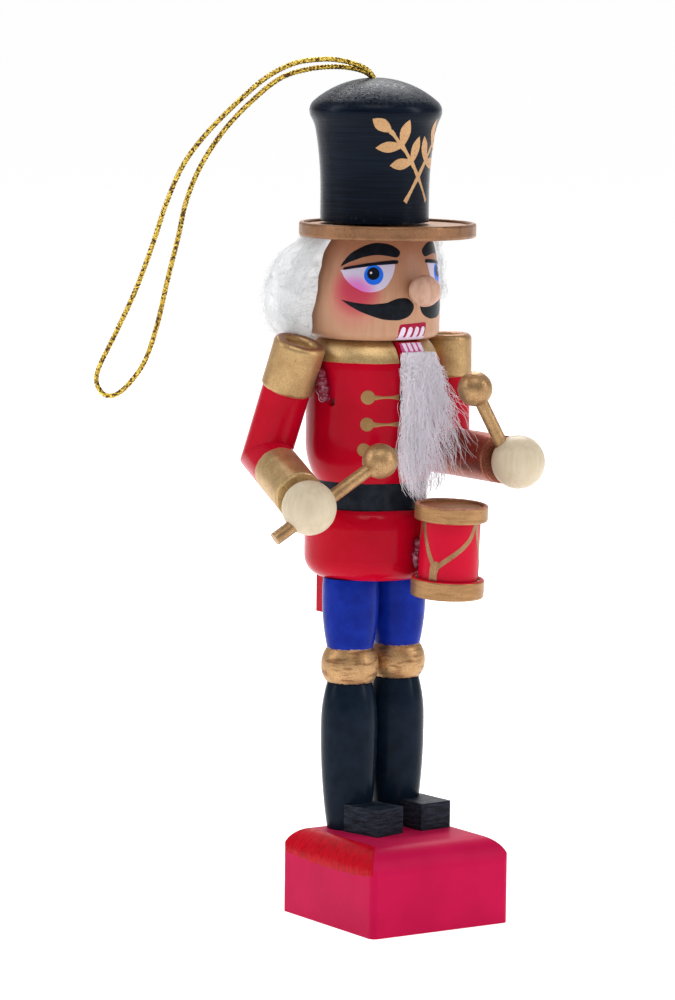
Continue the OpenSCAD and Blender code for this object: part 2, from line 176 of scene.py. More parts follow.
def crown_radius(z):
    """Radius of the hat: straight neck, slow flare, hollow and rounded rim."""
    # Each arc's centre from the axis, its centre above the brim, and its radius
    flare, hollow, rim = (62.1, 4.15, 54), (13.85, 12.67, 5), (7.87, 16.31, 2)
    hollow_start, rim_start = 13.53, 15.27
    up = z - CROWN_BOTTOM
    if up > rim_start:
        middle, level, size = rim
        return middle + math.sqrt(max(0.0, size ** 2 - (up - level) ** 2))
    middle, level, size = hollow if up > hollow_start else flare
    return middle - math.sqrt(size ** 2 - max(0.0, up - level) ** 2)


class Turned:
    """A turned surface: paint is laid on it by angle from its front, in degrees, and height."""

    def __init__(self, radius, frame=FIGURE):
        self.radius, self.frame = radius, frame

    def point(self, angle, z, lift):
        r = self.radius(z) + lift
        a = math.radians(angle)
        return self.frame @ Vector((r * math.sin(a), -r * math.cos(a), z))


class Flat:
    """A flat face from low to high, as Y and Z: paint is laid by X and distance up it."""

    def __init__(self, low, high):
        self.low = Vector((0, *low))
        self.up = (Vector((0, *high)) - self.low).normalized()
        self.out = Vector((1, 0, 0)).cross(self.up)

    def point(self, x, distance, lift):
        return FIGURE @ (self.low + Vector((x, 0, 0)) + self.up * distance + self.out * lift)


def between(a, b, c, d, t):
    """A point of the Catmull-Rom curve from b to c, between its neighbours a and d."""
    return 0.5 * (2 * b + (c - a) * t + (2 * a - 5 * b + 4 * c - d) * t * t
                  + (3 * b - a - 3 * c + d) * t ** 3)


def smooth_outline(corners, steps):
    """A closed Catmull-Rom curve through the corners. A corner given twice stays sharp."""
    count = len(corners)
    outline = []
    for i in range(count):
        a, b, c, d = (np.array(corners[(i + k) % count], float) for k in (-1, 0, 1, 2))
        if np.allclose(b, c):
            continue
        outline += [between(a, b, c, d, k / steps) for k in range(steps)]
    return outline


def edge_distance(point, outline):
    """Distance from a point to a closed outline."""
    start = np.array(outline)
    along = np.roll(start, -1, axis=0) - start
    length = np.maximum((along ** 2).sum(1), 1e-12)
    t = np.clip(((point - start) * along).sum(1) / length, 0, 1)
    return float(np.sqrt(((start + along * t[:, None] - point) ** 2).sum(1)).min())


def paint(name, outline, surface, material, body="figure", lift=0.03, scale=(1.0, 1.0), grid=0.35,
          under=0.0):
    """One brush mark: a thin raised skin inside an outline, on a surface or on paint that is
    `under` proud of it. scale turns the outline's units into millimetres."""
    scale = np.array(scale)
    rim = [np.array(p) * scale for p in outline]
    low, high = np.min(rim, axis=0), np.max(rim, axis=0)
    inner = []
    for v in np.arange(low[1] + grid / 2, high[1], grid):
        for u in np.arange(low[0] + grid / 2, high[0], grid):
            if edge_distance(np.array((u, v)), rim) > grid * 0.45:
                inner.append(np.array((u, v)))
    flat = [Vector(p) for p in rim + inner]
    made = delaunay_2d_cdt(flat, [], [list(range(len(rim)))], 1, 1e-6)
    proud, edge = 0.013, 0.12  # height of the mark's rim, and how far in it reaches its lift
    points = []
    for spot in (np.array(v) for v in made[0]):
        rise = max(0.0, lift - proud) * min(1.0, edge_distance(spot, rim) / edge)
        height = under + proud + rise
        points.append(surface.point(*(spot / scale), height))
    piece = new_piece(name, points, [tuple(f) for f in made[2]], material, body)
    first = np.array(made[0][0]) / scale
    outward = Vector(surface.point(*first, 1)) - Vector(surface.point(*first, 0))
    if piece.data.polygons[0].normal.dot(outward) < 0:
        piece.data.flip_normals()
    return piece


def mirrored(outline):
    """The same outline on the other side of the face."""
    return [(-a, z) for a, z in reversed(outline)]


def tube_mesh(paths, radii, sides=3):
    """Vertices and faces of thin tubes along many paths of the same number of points."""
    paths = np.asarray(paths, float)
    radii = np.asarray(radii, float)
    count, length = paths.shape[:2]
    along = np.gradient(paths, axis=1)
    along /= np.maximum(np.linalg.norm(along, axis=2, keepdims=True), 1e-9)
    helper = np.where(np.abs(along[..., 2:3]) > 0.9, np.array((1.0, 0, 0)), np.array((0, 0, 1.0)))
    side = np.cross(along, helper)
    side /= np.maximum(np.linalg.norm(side, axis=2, keepdims=True), 1e-9)
    up = np.cross(side, along)
    angle = 2 * np.pi * np.arange(sides) / sides
    ring = (side[:, :, None] * np.cos(angle)[:, None] + up[:, :, None] * np.sin(angle)[:, None])
    points = paths[:, :, None] + ring * radii[:, :, None, None]
    index = np.arange(count * length * sides).reshape(count, length, sides)
    a, b = index[:, :-1], index[:, 1:]
    c, d = np.roll(b, -1, axis=2), np.roll(a, -1, axis=2)
    faces = np.stack([a, d, c, b], axis=-1).reshape(-1, 4)
    return points.reshape(-1, 3), faces


def strands(name, paths, radii, material, body, sides=3):
    """Many fine fibres as one piece."""
    points, faces = tube_mesh(paths, radii, sides)
    return new_piece(name, points, faces.tolist(), material, body)


# ---- shader helper

class Shade:
    """A material's node tree, with its place in millimetres and short calls for its nodes."""

    def __init__(self, name, **constants):
        self.material = bpy.data.materials.new(name)
        self.material.use_nodes = True
        self.tree = self.material.node_tree
        self.bsdf = self.tree.nodes["Principled BSDF"]
        for socket, value in constants.items():
            self.bsdf.inputs[socket.replace("_", " ")].default_value = value
        self.place = self.stretched(self.new("TexCoord").outputs["Object"], (1 / MM,) * 3)

    def new(self, kind):
        return self.tree.nodes.new("ShaderNode" + kind)

    def feed(self, socket, value):
        if isinstance(value, bpy.types.NodeSocket):
            self.tree.links.new(value, socket)
        elif isinstance(value, (tuple, list)) and len(value) == 3 and socket.type == "RGBA":
            socket.default_value = (*value, 1)
        else:
            socket.default_value = value

    def stretched(self, vector, factors):
        node = self.new("VectorMath")
        node.operation = "MULTIPLY"
        self.feed(node.inputs[0], vector)
        node.inputs[1].default_value = factors
        return node.outputs["Vector"]

    def math(self, operation, a, b=None):
        node = self.new("Math")
        node.operation = operation
        self.feed(node.inputs[0], a)
        if b is not None:
            self.feed(node.inputs[1], b)
        return node.outputs[0]

    def axes(self, vector):
        node = self.new("SeparateXYZ")
        self.feed(node.inputs[0], vector)
        return node.outputs

    def moved(self, matrix):
        """The place in another frame, given by that frame's matrix."""
        node = self.new("Mapping")
        node.vector_type = "TEXTURE"
        self.feed(node.inputs["Vector"], self.place)
        node.inputs["Location"].default_value = matrix.to_translation()
        node.inputs["Rotation"].default_value = matrix.to_euler()
        return node.outputs[0]

    def around(self):
        """Angle from the figure's front in degrees, and height."""
        x, y, z = self.axes(self.moved(FIGURE))
        turn = self.math("ARCTAN2", x, self.times(y, -1))
        return self.times(turn, 180 / math.pi), z

    def noise(self, size, detail=2, roughness=0.5, stretch=(1, 1, 1), place=None):
        """Noise with marks of about that size in millimetres, from 0 to 1."""
        node = self.new("TexNoise")
        squeezed = tuple(1 / s for s in stretch)
        self.feed(node.inputs["Vector"], self.stretched(place or self.place, squeezed))
        node.inputs["Scale"].default_value = 1 / size
        node.inputs["Detail"].default_value = detail
        node.inputs["Roughness"].default_value = roughness
        return node.outputs["Fac"]

    def step(self, value, low, high, start=0.0, end=1.0):
        """A smooth step from start to end as value goes from low to high."""
        node = self.new("MapRange")
        node.interpolation_type = "SMOOTHSTEP"
        for socket, number in zip(node.inputs, (value, low, high, start, end)):
            self.feed(socket, number)
        return node.outputs[0]

    def mix(self, factor, a, b):
        node = self.new("Mix")
        node.data_type = "RGBA"
        colour_a, colour_b, colour_out = 6, 7, 2  # its sockets that carry colours
        self.feed(node.inputs["Factor"], factor)
        self.feed(node.inputs[colour_a], a)
        self.feed(node.inputs[colour_b], b)
        return node.outputs[colour_out]

    def blob(self, u, v, centre, size):
        """1 at a centre, falling to 0 at the rim of an ellipse of that half size."""
        du = self.math("DIVIDE", self.minus(u, centre[0]), size[0])
        dv = self.math("DIVIDE", self.minus(v, centre[1]), size[1])
        reach = self.total(self.times(du, du), self.times(dv, dv))
        return self.step(reach, 0.0, 1.0, 1.0, 0.0)

    def chain(self, operation, values):
        result = values[0]
        for value in values[1:]:
            result = self.math(operation, result, value)
        return result

    def total(self, *values):
        return self.chain("ADD", values)

    def times(self, *values):
        return self.chain("MULTIPLY", values)

    def minus(self, a, b):
        return self.math("SUBTRACT", a, b)

    def metal(self, value):
        self.feed(self.bsdf.inputs["Metallic"], value)

    def colour(self, value):
        self.feed(self.bsdf.inputs["Base Color"], value)

    def rough(self, value):
        self.feed(self.bsdf.inputs["Roughness"], value)

    def bump(self, height, depth):
        """Relief: height from 0 to 1 stands depth millimetres proud."""
        node = self.new("Bump")
        node.inputs["Distance"].default_value = depth * MM
        self.feed(node.inputs["Height"], height)
        self.tree.links.new(node.outputs[0], self.bsdf.inputs["Normal"])


# ---- paints and woods

# Pink sheen of the red gloss where it is seen edge-on
PINK_RIM = {"Sheen_Weight": 0.14, "Sheen_Roughness": 0.3, "Sheen_Tint": (1, 0.22, 0.5, 1)}
RED = (0.50, 0.0015, 0.019)
RED_DEEP = (0.43, 0.001, 0.013)
GOLD = (0.50, 0.32, 0.14)
COPPERY_GOLD = (0.46, 0.25, 0.105)
GOLD_DARK = (0.24, 0.125, 0.05)
GOLD_BRIGHT = (0.66, 0.49, 0.25)


def red_paint(s):
    """Glossy red over wood: slow, faint changes of depth."""
    return s.mix(s.step(s.noise(7.0), 0.3, 0.7), RED_DEEP, RED)


def gold_paint(s, dark=GOLD_DARK, mid=GOLD, bright=GOLD_BRIGHT):
    """Metallic paint: flakes that differ in brightness, and small brown pits."""
    flakes = s.mix(s.step(s.noise(0.16, 2, 0.7), 0.35, 0.68), mid, bright)
    cloud = s.mix(s.step(s.noise(2.4, 3, 0.6), 0.30, 0.62, 0.35, 0.0), flakes, dark)
    pits = s.step(s.noise(0.34, 2, 0.6), 0.66, 0.74)
    return s.mix(pits, cloud, dark)


def paint_relief(s, *more):
    """The skin of hand-brushed paint: an uneven flow with the wood's grain under it."""
    flow = s.times(s.noise(1.6), 0.9)
    fine = s.times(s.noise(0.28, 2, 0.55), 0.16)
    return s.total(flow, fine, *more)


def make_red_paint():
    s = Shade("red_paint", Roughness=0.3, Specular_IOR_Level=0.1)
    s.colour(red_paint(s))
    s.rough(s.step(s.noise(2.2), 0.3, 0.7, 0.26, 0.40))
    s.bump(paint_relief(s), 0.03)
    return s.material


def make_gold_paint(name, relief=0.03, **colours):
    s = Shade(name, Metallic=0.72, Roughness=0.42)
    s.colour(gold_paint(s, **colours))
    s.rough(s.step(s.noise(0.3), 0.3, 0.7, 0.34, 0.5))
    s.bump(s.total(s.times(s.noise(0.3, 3, 0.6), 0.6), s.noise(1.8)), relief)
    return s.material


def make_bare_wood(name, colour, dark):
    """Clear-lacquered pale wood with a faint grain and small pores."""
    s = Shade(name, Roughness=0.42, Specular_IOR_Level=0.3)
    lines = s.noise(1.3, stretch=(0.5, 0.5, 5))
    body = s.mix(s.step(lines, 0.35, 0.7), colour, dark)
    pores = s.step(s.noise(0.35, stretch=(1, 1, 2)), 0.71, 0.77, 0.0, 0.4)
    s.colour(s.mix(pores, body, tuple(c * 0.5 for c in dark)))
    s.bump(s.total(s.times(lines, 0.3), s.noise(1.5)), 0.012)
    return s.material


def assign(node, material):
    """Gives a CAD node its material."""
    mesh = nodes[node].data
    mesh.materials.clear()
    mesh.materials.append(material)


# ---- the hanging cord

CORD_TURN = -34
HOLE_FLOOR = CROWN_TOP - 4
CORD_ROUTE = [
    (-0.1, -0.5, HOLE_FLOOR), (-0.2, -0.5, 124.2), (-0.6, -0.5, 125.4), (-1.6, -0.5, 126.4),
    (-3.3, -0.5, 127.1), (-5.5, -0.5, 127.6), (-8, -0.4, 127.7), (-12, -0.4, 127.1),
    (-16, -0.4, 125.1), (-20, -0.4, 121.7), (-25, -0.4, 116.6), (-28.5, -0.4, 111.8),
    (-31, -0.3, 106), (-33, -0.3, 99.8), (-35.5, -0.2, 93), (-38.5, -0.1, 86.4),
    (-40.8, 0, 81.6), (-41.2, 0, 79.2), (-40, 0, 77.4), (-38, 0, 77.6), (-35.6, 0, 80),
    (-33.8, 0.1, 83), (-32.2, 0.2, 88), (-30.8, 0.3, 94.3), (-29.2, 0.3, 101), (-28, 0.4, 106.5),
    (-25.8, 0.4, 111.9), (-22.4, 0.4, 117.1), (-18.4, 0.4, 121.4), (-14.2, 0.4, 124.8),
    (-10, 0.5, 126.2), (-6, 0.5, 126.6), (-3, 0.5, 126.3), (-1.2, 0.5, 125.6), (-0.4, 0.5, 124.4),
    (-0.1, 0.5, HOLE_FLOOR)]


def open_curve(corners, spacing):
    """Even points along the Catmull-Rom curve through the corners."""
    corners = np.array(corners, float)
    fine = []
    for i in range(len(corners) - 1):
        a, b, c, d = (corners[min(max(i + k, 0), len(corners) - 1)] for k in (-1, 0, 1, 2))
        fine += [between(a, b, c, d, t) for t in np.linspace(0, 1, 24, endpoint=False)]
    fine = np.array(fine + [corners[-1]])
    far = np.concatenate([[0], np.cumsum(np.linalg.norm(np.diff(fine, axis=0), axis=1))])
    even = np.linspace(0, far[-1], int(far[-1] / spacing) + 1)
    return np.stack([np.interp(even, far, fine[:, k]) for k in range(3)], axis=1), far[-1]


def make_cord():
    """A laid cord: four metallic strands wound around one another."""
    turn = turned_frame(CORD_TURN)
    middle, length = open_curve([turn @ Vector(p) for p in CORD_ROUTE], 0.16)
    strand_r, wind_r, pitch, count = 0.19, 0.21, 2.1, 4
    along = np.gradient(middle, axis=0)
    along /= np.linalg.norm(along, axis=1, keepdims=True)
    plane = np.array(turn.to_3x3() @ Vector((0, 1, 0)))
    side = np.tile(plane, (len(middle), 1))
    side -= along * (side * along).sum(1, keepdims=True)
    side /= np.linalg.norm(side, axis=1, keepdims=True)
    up = np.cross(along, side)
    far = np.linspace(0, length, len(middle))
    paths = []
    for k in range(count):
        angle = 2 * np.pi * (far / pitch + k / count)
        paths.append(middle + wind_r * (np.cos(angle)[:, None] * side + np.sin(angle)[:, None] * up))
    s = Shade("gold_cord", Metallic=0.85, Roughness=0.34)
    thread = s.step(s.noise(0.42, 2, 0.6), 0.42, 0.52)
    bright = s.mix(s.step(s.noise(0.25, 1), 0.4, 0.6), (0.62, 0.40, 0.035), (0.95, 0.72, 0.16))
    s.colour(s.mix(thread, (0.10, 0.05, 0.02), bright))
    s.bump(s.noise(0.15), 0.03)
    piece = strands("gold_cord", paths, np.full((count, len(middle)), strand_r), s.material, "figure", 7)
    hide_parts("hanging_cord")


make_cord()


# ---- base, legs and shoes

def make_base_paint():
    """Red block: smooth faces tinted pink as painted reflection, and wet-looking end grain on its rounded
    right edge.
    """
    s = Shade("base_paint", Roughness=0.42, Specular_IOR_Level=0.05, **PINK_RIM)
    x, y, z = s.axes(s.place)
    ragged = s.times(s.noise(1.2, 3, 0.6), 0.5)
    sag = s.times(y, y, 0.0042)
    end_low, end_side, mitre_slope, mitre = 8.95, -9.45, 1.31, 3.75
    above = s.step(s.minus(s.total(z, ragged), sag), end_low, end_low + 0.05)
    outside = s.step(s.minus(x, ragged), end_side, end_side - 0.25)
    behind = s.step(s.minus(y, s.times(x, mitre_slope)), mitre, mitre + 0.25)
    end = s.times(above, outside, behind)
    streaks = s.noise(0.42, 3, 0.7, stretch=(3.5, 0.8, 3.5))
    # Extra blue in the faces' red: painted pink reflection of the white surroundings, which the end grain
    # does not get.
    faces_with_pink_reflection = s.mix(s.step(s.noise(8), 0.35, 0.65), (0.48, 0.004, 0.056), (0.53, 0.005, 0.064))
    wet = s.mix(s.step(streaks, 0.35, 0.62), (0.36, 0.0001, 0.006), (0.56, 0.0003, 0.012))
    s.colour(s.mix(end, faces_with_pink_reflection, wet))
    s.rough(s.step(end, 0.0, 1.0, 0.42, 0.16))
    rough_end = s.times(streaks, end, 2.6)
    grain = s.times(s.noise(0.8, 3, 0.6, stretch=(4, 4, 1)), 0.25)
    s.bump(paint_relief(s, rough_end, grain), 0.035)
    return s.material


KNEE_LOW = {"right": BASE_TOP + 22.05, "left": BASE_TOP + 22.25}
KNEE_TOP = BASE_TOP + 27.2


def make_leg_paint(label, knee_low):
    """One leg: black boot, gold knee, blue thigh, with hand-painted edges."""
    s = Shade(f"leg_paint_{label}", Roughness=0.3, Specular_IOR_Level=0.06)
    z = s.axes(s.place)[2]
    ragged = s.total(z, s.times(s.noise(0.9, 3, 0.6), 0.5))
    knee = s.step(ragged, knee_low + 0.35, knee_low + 0.5)
    thigh = s.step(ragged, KNEE_TOP + 0.35, KNEE_TOP + 0.5)
    blue = s.mix(s.step(s.noise(2.2, 3, 0.55), 0.3, 0.7), (0.004, 0.018, 0.24), (0.007, 0.027, 0.33))
    boot = s.mix(s.step(s.noise(2.0, 3), 0.3, 0.7), (0.004, 0.009, 0.018), (0.007, 0.014, 0.027))
    brush = s.step(s.noise(0.9, 3, 0.55, stretch=(3.4, 3.4, 0.8)), 0.48, 0.66, 0.0, 0.8)
    gilt = s.mix(brush, gold_paint(s, mid=COPPERY_GOLD, bright=(0.60, 0.40, 0.21)), (0.20, 0.09, 0.04))
    s.colour(s.mix(thigh, s.mix(knee, boot, gilt), blue))
    metal = s.minus(knee, thigh)
    s.metal(s.times(metal, 0.7))
    s.rough(s.total(0.20, s.times(metal, 0.18), s.times(s.noise(1.2), 0.10)))
    s.bump(paint_relief(s, s.times(metal, 0.5)), 0.03)
    return s.material


def make_shoe_paint():
    """Black paint over rough sawn blocks: saw marks and torn grain."""
    s = Shade("shoe_paint", Roughness=0.4, Specular_IOR_Level=0.1)
    saw = s.noise(0.45, 4, 0.65, stretch=(5, 5, 0.6))
    s.colour(s.mix(s.step(saw, 0.35, 0.7), (0.003, 0.005, 0.010), (0.030, 0.042, 0.064)))
    s.bump(s.total(saw, s.times(s.noise(0.25), 0.3)), 0.3)
    return s.material


assign("base", make_base_paint())
shoe_paint = make_shoe_paint()
for label in ("right", "left"):
    assign(f"leg_{label}", make_leg_paint(label, KNEE_LOW[label]))
    assign(f"shoe_{label}", shoe_paint)


# ---- body and jaw

def make_body_paint():
    """Red tunic and skirt, black belt, gold collar."""
    s = Shade("body_paint", Roughness=0.2, Specular_IOR_Level=0.08, **PINK_RIM)
    z = s.axes(s.place)[2]
    wavy = s.total(z, s.times(s.noise(2.5), 0.25))
    belt = s.times(s.step(wavy, BELT_LOW, BELT_LOW + 0.12), s.step(wavy, BELT_TOP + 0.2, BELT_TOP + 0.08))
    collar = s.step(wavy, COLLAR_LOW, COLLAR_LOW + 0.1)
    dark = s.mix(s.step(s.noise(1.4, 3), 0.3, 0.7), (0.005, 0.008, 0.013), (0.013, 0.017, 0.026))
    s.colour(s.mix(collar, s.mix(belt, red_paint(s), dark), gold_paint(s)))
    s.metal(s.times(collar, 0.75))
    s.rough(s.total(0.13, s.times(collar, 0.26), s.times(s.noise(2.0), 0.08)))
    leaf_relief = s.times(s.noise(0.5, 3), collar, 1.2)
    s.bump(paint_relief(s, leaf_relief), 0.03)
    return s.material


assign("torso", make_body_paint())
assign("jaw_lever", make_red_paint())
steel = Shade("pin_steel", Metallic=1.0, Roughness=0.35)
steel.colour(steel.mix(steel.noise(0.8), (0.42, 0.42, 0.44), (0.56, 0.56, 0.58)))
assign("pivot_pin", steel.material)

frog_gold = make_gold_paint("frog_gold", dark=(0.20, 0.09, 0.03), mid=(0.36, 0.20, 0.075),
                            bright=(0.44, 0.27, 0.11))
chest = Turned(chest_radius)


def make_frogs():
    """Three gold frogs on each side of the chest: a disc and a bar to the slot."""
    rows = [(HIP + 27.55, -41.5, 1.05), (HIP + 23.55, -42.0, 1.02), (HIP + 19.75, -44.5, 1.0)]
    degree = math.radians(1) * CHEST_R
    for side in (-1, 1):
        for i, (z, angle, r) in enumerate(rows):
            a = angle * -side
            disc = [(a + r / degree * math.cos(t), z + r * math.sin(t))
                    for t in np.linspace(0, 2 * math.pi, 22, endpoint=False)]
            ends = sorted((a * 0.93, side * 14.5))
            bar = [(ends[0], z - 0.48), (ends[1], z - 0.42), (ends[1], z + 0.42), (ends[0], z + 0.48)]
            label = "left" if side > 0 else "right"
            for kind, outline in (("disc", disc), ("bar", bar)):
                paint(f"frog_{kind}_{label}_{i + 1}", outline, chest, frog_gold, scale=(degree, 1),
                      grid=0.25, under=0.012 if kind == "disc" else 0.0)


make_frogs()


# ---- head and face

def make_head_wood():
    """Lacquered wood, darker and redder toward the hat as painted shade under the brim, with rouged
    cheeks.
    """
    s = Shade("head_wood", Roughness=0.4, Specular_IOR_Level=0.3)
    angle, z = s.around()
    grain = s.noise(0.9, 3, 0.5, stretch=(0.6, 0.6, 4))
    wood = s.mix(s.step(grain, 0.3, 0.75), (0.55, 0.30, 0.18), (0.51, 0.265, 0.155))
    # Painted shade under the hat's brim: the wood darkens and reddens toward the top of the head.
    under_brim_shade = s.mix(s.step(z, NECK + 3, HEAD_TOP, 0.0, 0.75), wood, (0.29, 0.10, 0.048))
    away = s.math("ABSOLUTE", angle)
    halo = s.times(s.blob(away, z, (56, 92.6), (30, 5.2)), 0.55)
    cheek = s.times(s.blob(away, z, (53, 94.2), (27, 4.6)), 0.95)
    blush = s.mix(halo, under_brim_shade, (0.56, 0.14, 0.13))
    s.colour(s.mix(s.math("MINIMUM", cheek, 1.0), blush, (0.46, 0.022, 0.062)))
    s.bump(s.total(s.times(grain, 0.3), s.noise(1.4)), 0.015)
    return s.material


def flat_paint(name, colour, other, gloss):
    """Plain hand paint, slightly uneven."""
    s = Shade(name, Roughness=gloss, Specular_IOR_Level=0.12)
    s.colour(s.mix(s.step(s.noise(0.9, 3), 0.3, 0.7), other, colour))
    s.bump(s.noise(0.5, 3), 0.02)
    return s.material


def make_eye_white():
    """Lavender white, flushed magenta toward the cheek."""
    s = Shade("eye_white", Roughness=0.38)
    angle, z = s.around()
    away = s.math("ABSOLUTE", angle)
    flush = s.blob(away, z, (55, 93.6), (24, 3.3))
    s.colour(s.mix(flush, (0.58, 0.52, 0.68), (0.62, 0.12, 0.47)))
    s.bump(s.noise(0.8), 0.015)
    return s.material


HEAD = Turned(head_radius)
DEGREE = math.radians(1) * HEAD_R
face_black = flat_paint("face_black", (0.003, 0.004, 0.007), (0.006, 0.009, 0.015), 0.34)
eye_white = make_eye_white()
eye_blue = flat_paint("eye_blue", (0.012, 0.17, 0.86), (0.014, 0.12, 0.70), 0.3)
tooth_white = flat_paint("tooth_white", (0.82, 0.72, 0.84), (0.74, 0.58, 0.76), 0.35)
mouth_red = flat_paint("mouth_red", (0.42, 0.008, 0.05), (0.32, 0.004, 0.03), 0.35)

BROW = [(-69.1, 97.5), (-69.1, 97.5), (-66.8, 98.2), (-60.5, 99.4), (-54, 100.1), (-46.5, 100.7),
        (-39, 101.05), (-31.3, 101.1), (-23.5, 100.9), (-17.7, 100.5), (-13.9, 100.05),
        (-13.1, 99.6), (-14.9, 99.15), (-17.8, 99), (-23.1, 99.15), (-29.6, 99.3), (-36, 99.35),
        (-42.4, 99.2), (-48.8, 98.95), (-55.2, 98.55), (-60.8, 98.2), (-65.5, 97.8)]
EYE = [(-68.8, 97), (-68.8, 97), (-66.9, 96.65), (-64.6, 96), (-61.1, 95.4), (-56.7, 94.8),
       (-52.2, 94.4), (-47.8, 94.05), (-42.6, 93.9), (-37.5, 93.95), (-32.3, 94.2), (-27.2, 94.75),
       (-23.6, 95.6), (-20.8, 96.45), (-19.1, 97.4), (-18.6, 98.1), (-18.6, 98.1), (-30, 98.0),
       (-45, 97.65), (-60, 97.2)]
LID = [(-65.1, 97.1), (-65.9, 97.3), (-63.9, 97.5), (-54.9, 97.8), (-45.8, 98.1), (-36.9, 98.3),
       (-27.8, 98.5), (-18.5, 98.6), (-16.1, 98.55), (-15.5, 98.35), (-16.7, 98.1), (-23.3, 98),
       (-32.4, 97.9), (-39.5, 97.8), (-45.7, 97.6), (-54.7, 97.4), (-61.3, 97.2)]
MOUSTACHE = [(-66.8, 92.7), (-66.8, 92.7), (-58.2, 92.45), (-51.9, 92.3), (-45.9, 92.2),
             (-39, 92.15), (-32.2, 92.25), (-26.2, 92.4), (-21, 92.75), (-16.5, 93), (-11.8, 93.05),
             (-7.9, 93), (-4.9, 92.7), (-2, 92.25), (-0.8, 91.8), (-1.6, 91.2), (-4.7, 90.5),
             (-9.6, 90.05), (-15.3, 89.8), (-21.6, 89.8), (-28.6, 89.9), (-35.5, 90.2),
             (-42.3, 90.6), (-49.2, 91.05), (-56.3, 91.65), (-61.9, 92.2)]
MOUSTACHE_SHIFT = 5.4  # the left half starts further out than the right half
IRIS = (-37.9, 96.45, 1.46)
PUPIL = (-38.3, 96.65, 0.92)
GLINT = (-40.3, 96.75, 0.17)


def disc(centre, flip):
    """Outline of a painted disc on the head, given by angle, height and radius."""
    angle, z, r = centre
    sign = -1 if flip else 1
    return [(sign * angle + r / DEGREE * math.cos(t), z + r * math.sin(t))
            for t in np.linspace(0, 2 * math.pi, 30, endpoint=False)]


def on_head(name, outline, material, lift=0.03, under=0.0):
    return paint(name, outline, HEAD, material, lift=lift, scale=(DEGREE, 1), under=under)


def iris_outline(flip):
    """The iris, cut off where it meets the lid's line."""
    return [(a, min(z, 97.85 - 0.022 * (abs(a) - 38))) for a, z in disc(IRIS, flip)]


def make_face():
    for flip, label in ((False, "right"), (True, "left")):
        turned_over = mirrored if flip else list
        on_head(f"eyebrow_{label}", turned_over(smooth_outline(BROW, 5)), face_black)
        on_head(f"eye_white_{label}", turned_over(smooth_outline(EYE, 5)), eye_white, 0.025)
        on_head(f"iris_{label}", iris_outline(flip), eye_blue, 0.015, 0.03)
        on_head(f"pupil_{label}", disc(PUPIL, flip), face_black, 0.015, 0.05)
        on_head(f"eye_glint_{label}", disc(GLINT, flip), tooth_white, 0.015, 0.07)
        on_head(f"eyelid_{label}", turned_over(smooth_outline(LID, 5)), face_black, 0.02, 0.05)
    near = smooth_outline(MOUSTACHE, 5)
    on_head("moustache_right", near, face_black, 0.035)
    on_head("moustache_left", [(a + MOUSTACHE_SHIFT, z) for a, z in mirrored(near)], face_black, 0.035)


def make_mouth():
    """Upper lip and teeth on the head."""
    lip = [(-16.9, 86.95), (-16.9, 86.95), (-15.2, 88.6), (-13.8, 89.1), (-10, 89.2), (0.7, 89.3),
           (11.5, 89.35), (13.8, 89.15), (13.6, 88.6), (11.6, 86.95), (11.6, 86.95)]
    on_head("upper_lip", smooth_outline(lip, 4), mouth_red, 0.02)
    gum = [(-17.1, 86.85), (-17.1, 86.85), (-14.4, 87.2), (0, 87.25), (12.6, 87.3), (12.2, 86.85),
           (12.2, 86.85)]
    on_head("upper_teeth_foot", smooth_outline(gum, 4), tooth_white, 0.015, 0.025)
    for i in range(4):
        top = -11.3 + 7.0 * i
        low = top - 2.9
        tooth = [(low - 1.9, 87.0), (low - 1.9, 87.0), (top - 2.2, 88.35), (top - 0.6, 88.72),
                 (top + 1.5, 88.7), (top + 2.3, 88.3), (low + 2.5, 87.0), (low + 2.5, 87.0)]
        on_head(f"upper_tooth_{i + 1}", smooth_outline(tooth, 4), tooth_white, 0.02, 0.03)


assign("head", make_head_wood())
assign("nose", make_bare_wood("nose_wood", (0.58, 0.36, 0.27), (0.50, 0.28, 0.19)))
make_face()
make_mouth()


# ---- lower jaw

def make_jaw_paint():
    """Gum and teeth painted on the front of the jaw lever."""
    front = Flat((JAW_FRONT, 0), (JAW_FRONT, 1))
    gum = flat_paint("gum_pink", (0.62, 0.10, 0.30), (0.50, 0.04, 0.18), 0.35)
    slope = Flat((JAW_FRONT, 84.3), (-8.95, 86.4))
    paint("lower_gum", [(-2.05, 82.9), (2.05, 82.9), (2.05, 84.25), (-2.05, 84.25)], front, gum, "jaw")
    paint("lower_gum_top", [(-2.05, 0.05), (2.05, 0.05), (2.05, 2.2), (-2.05, 2.2)], slope, gum, "jaw")
    for i in range(4):
        x = -1.35 + 0.95 * i
        tooth = [(x - 0.36, 2.25), (x + 0.36, 2.25), (x + 0.62, 0.95), (x + 0.35, 0.75), (x - 0.05, 0.9)]
        paint(f"lower_tooth_{i + 1}", tooth, slope, tooth_white, "jaw", lift=0.06, grid=0.2)


make_jaw_paint()


# ---- hat

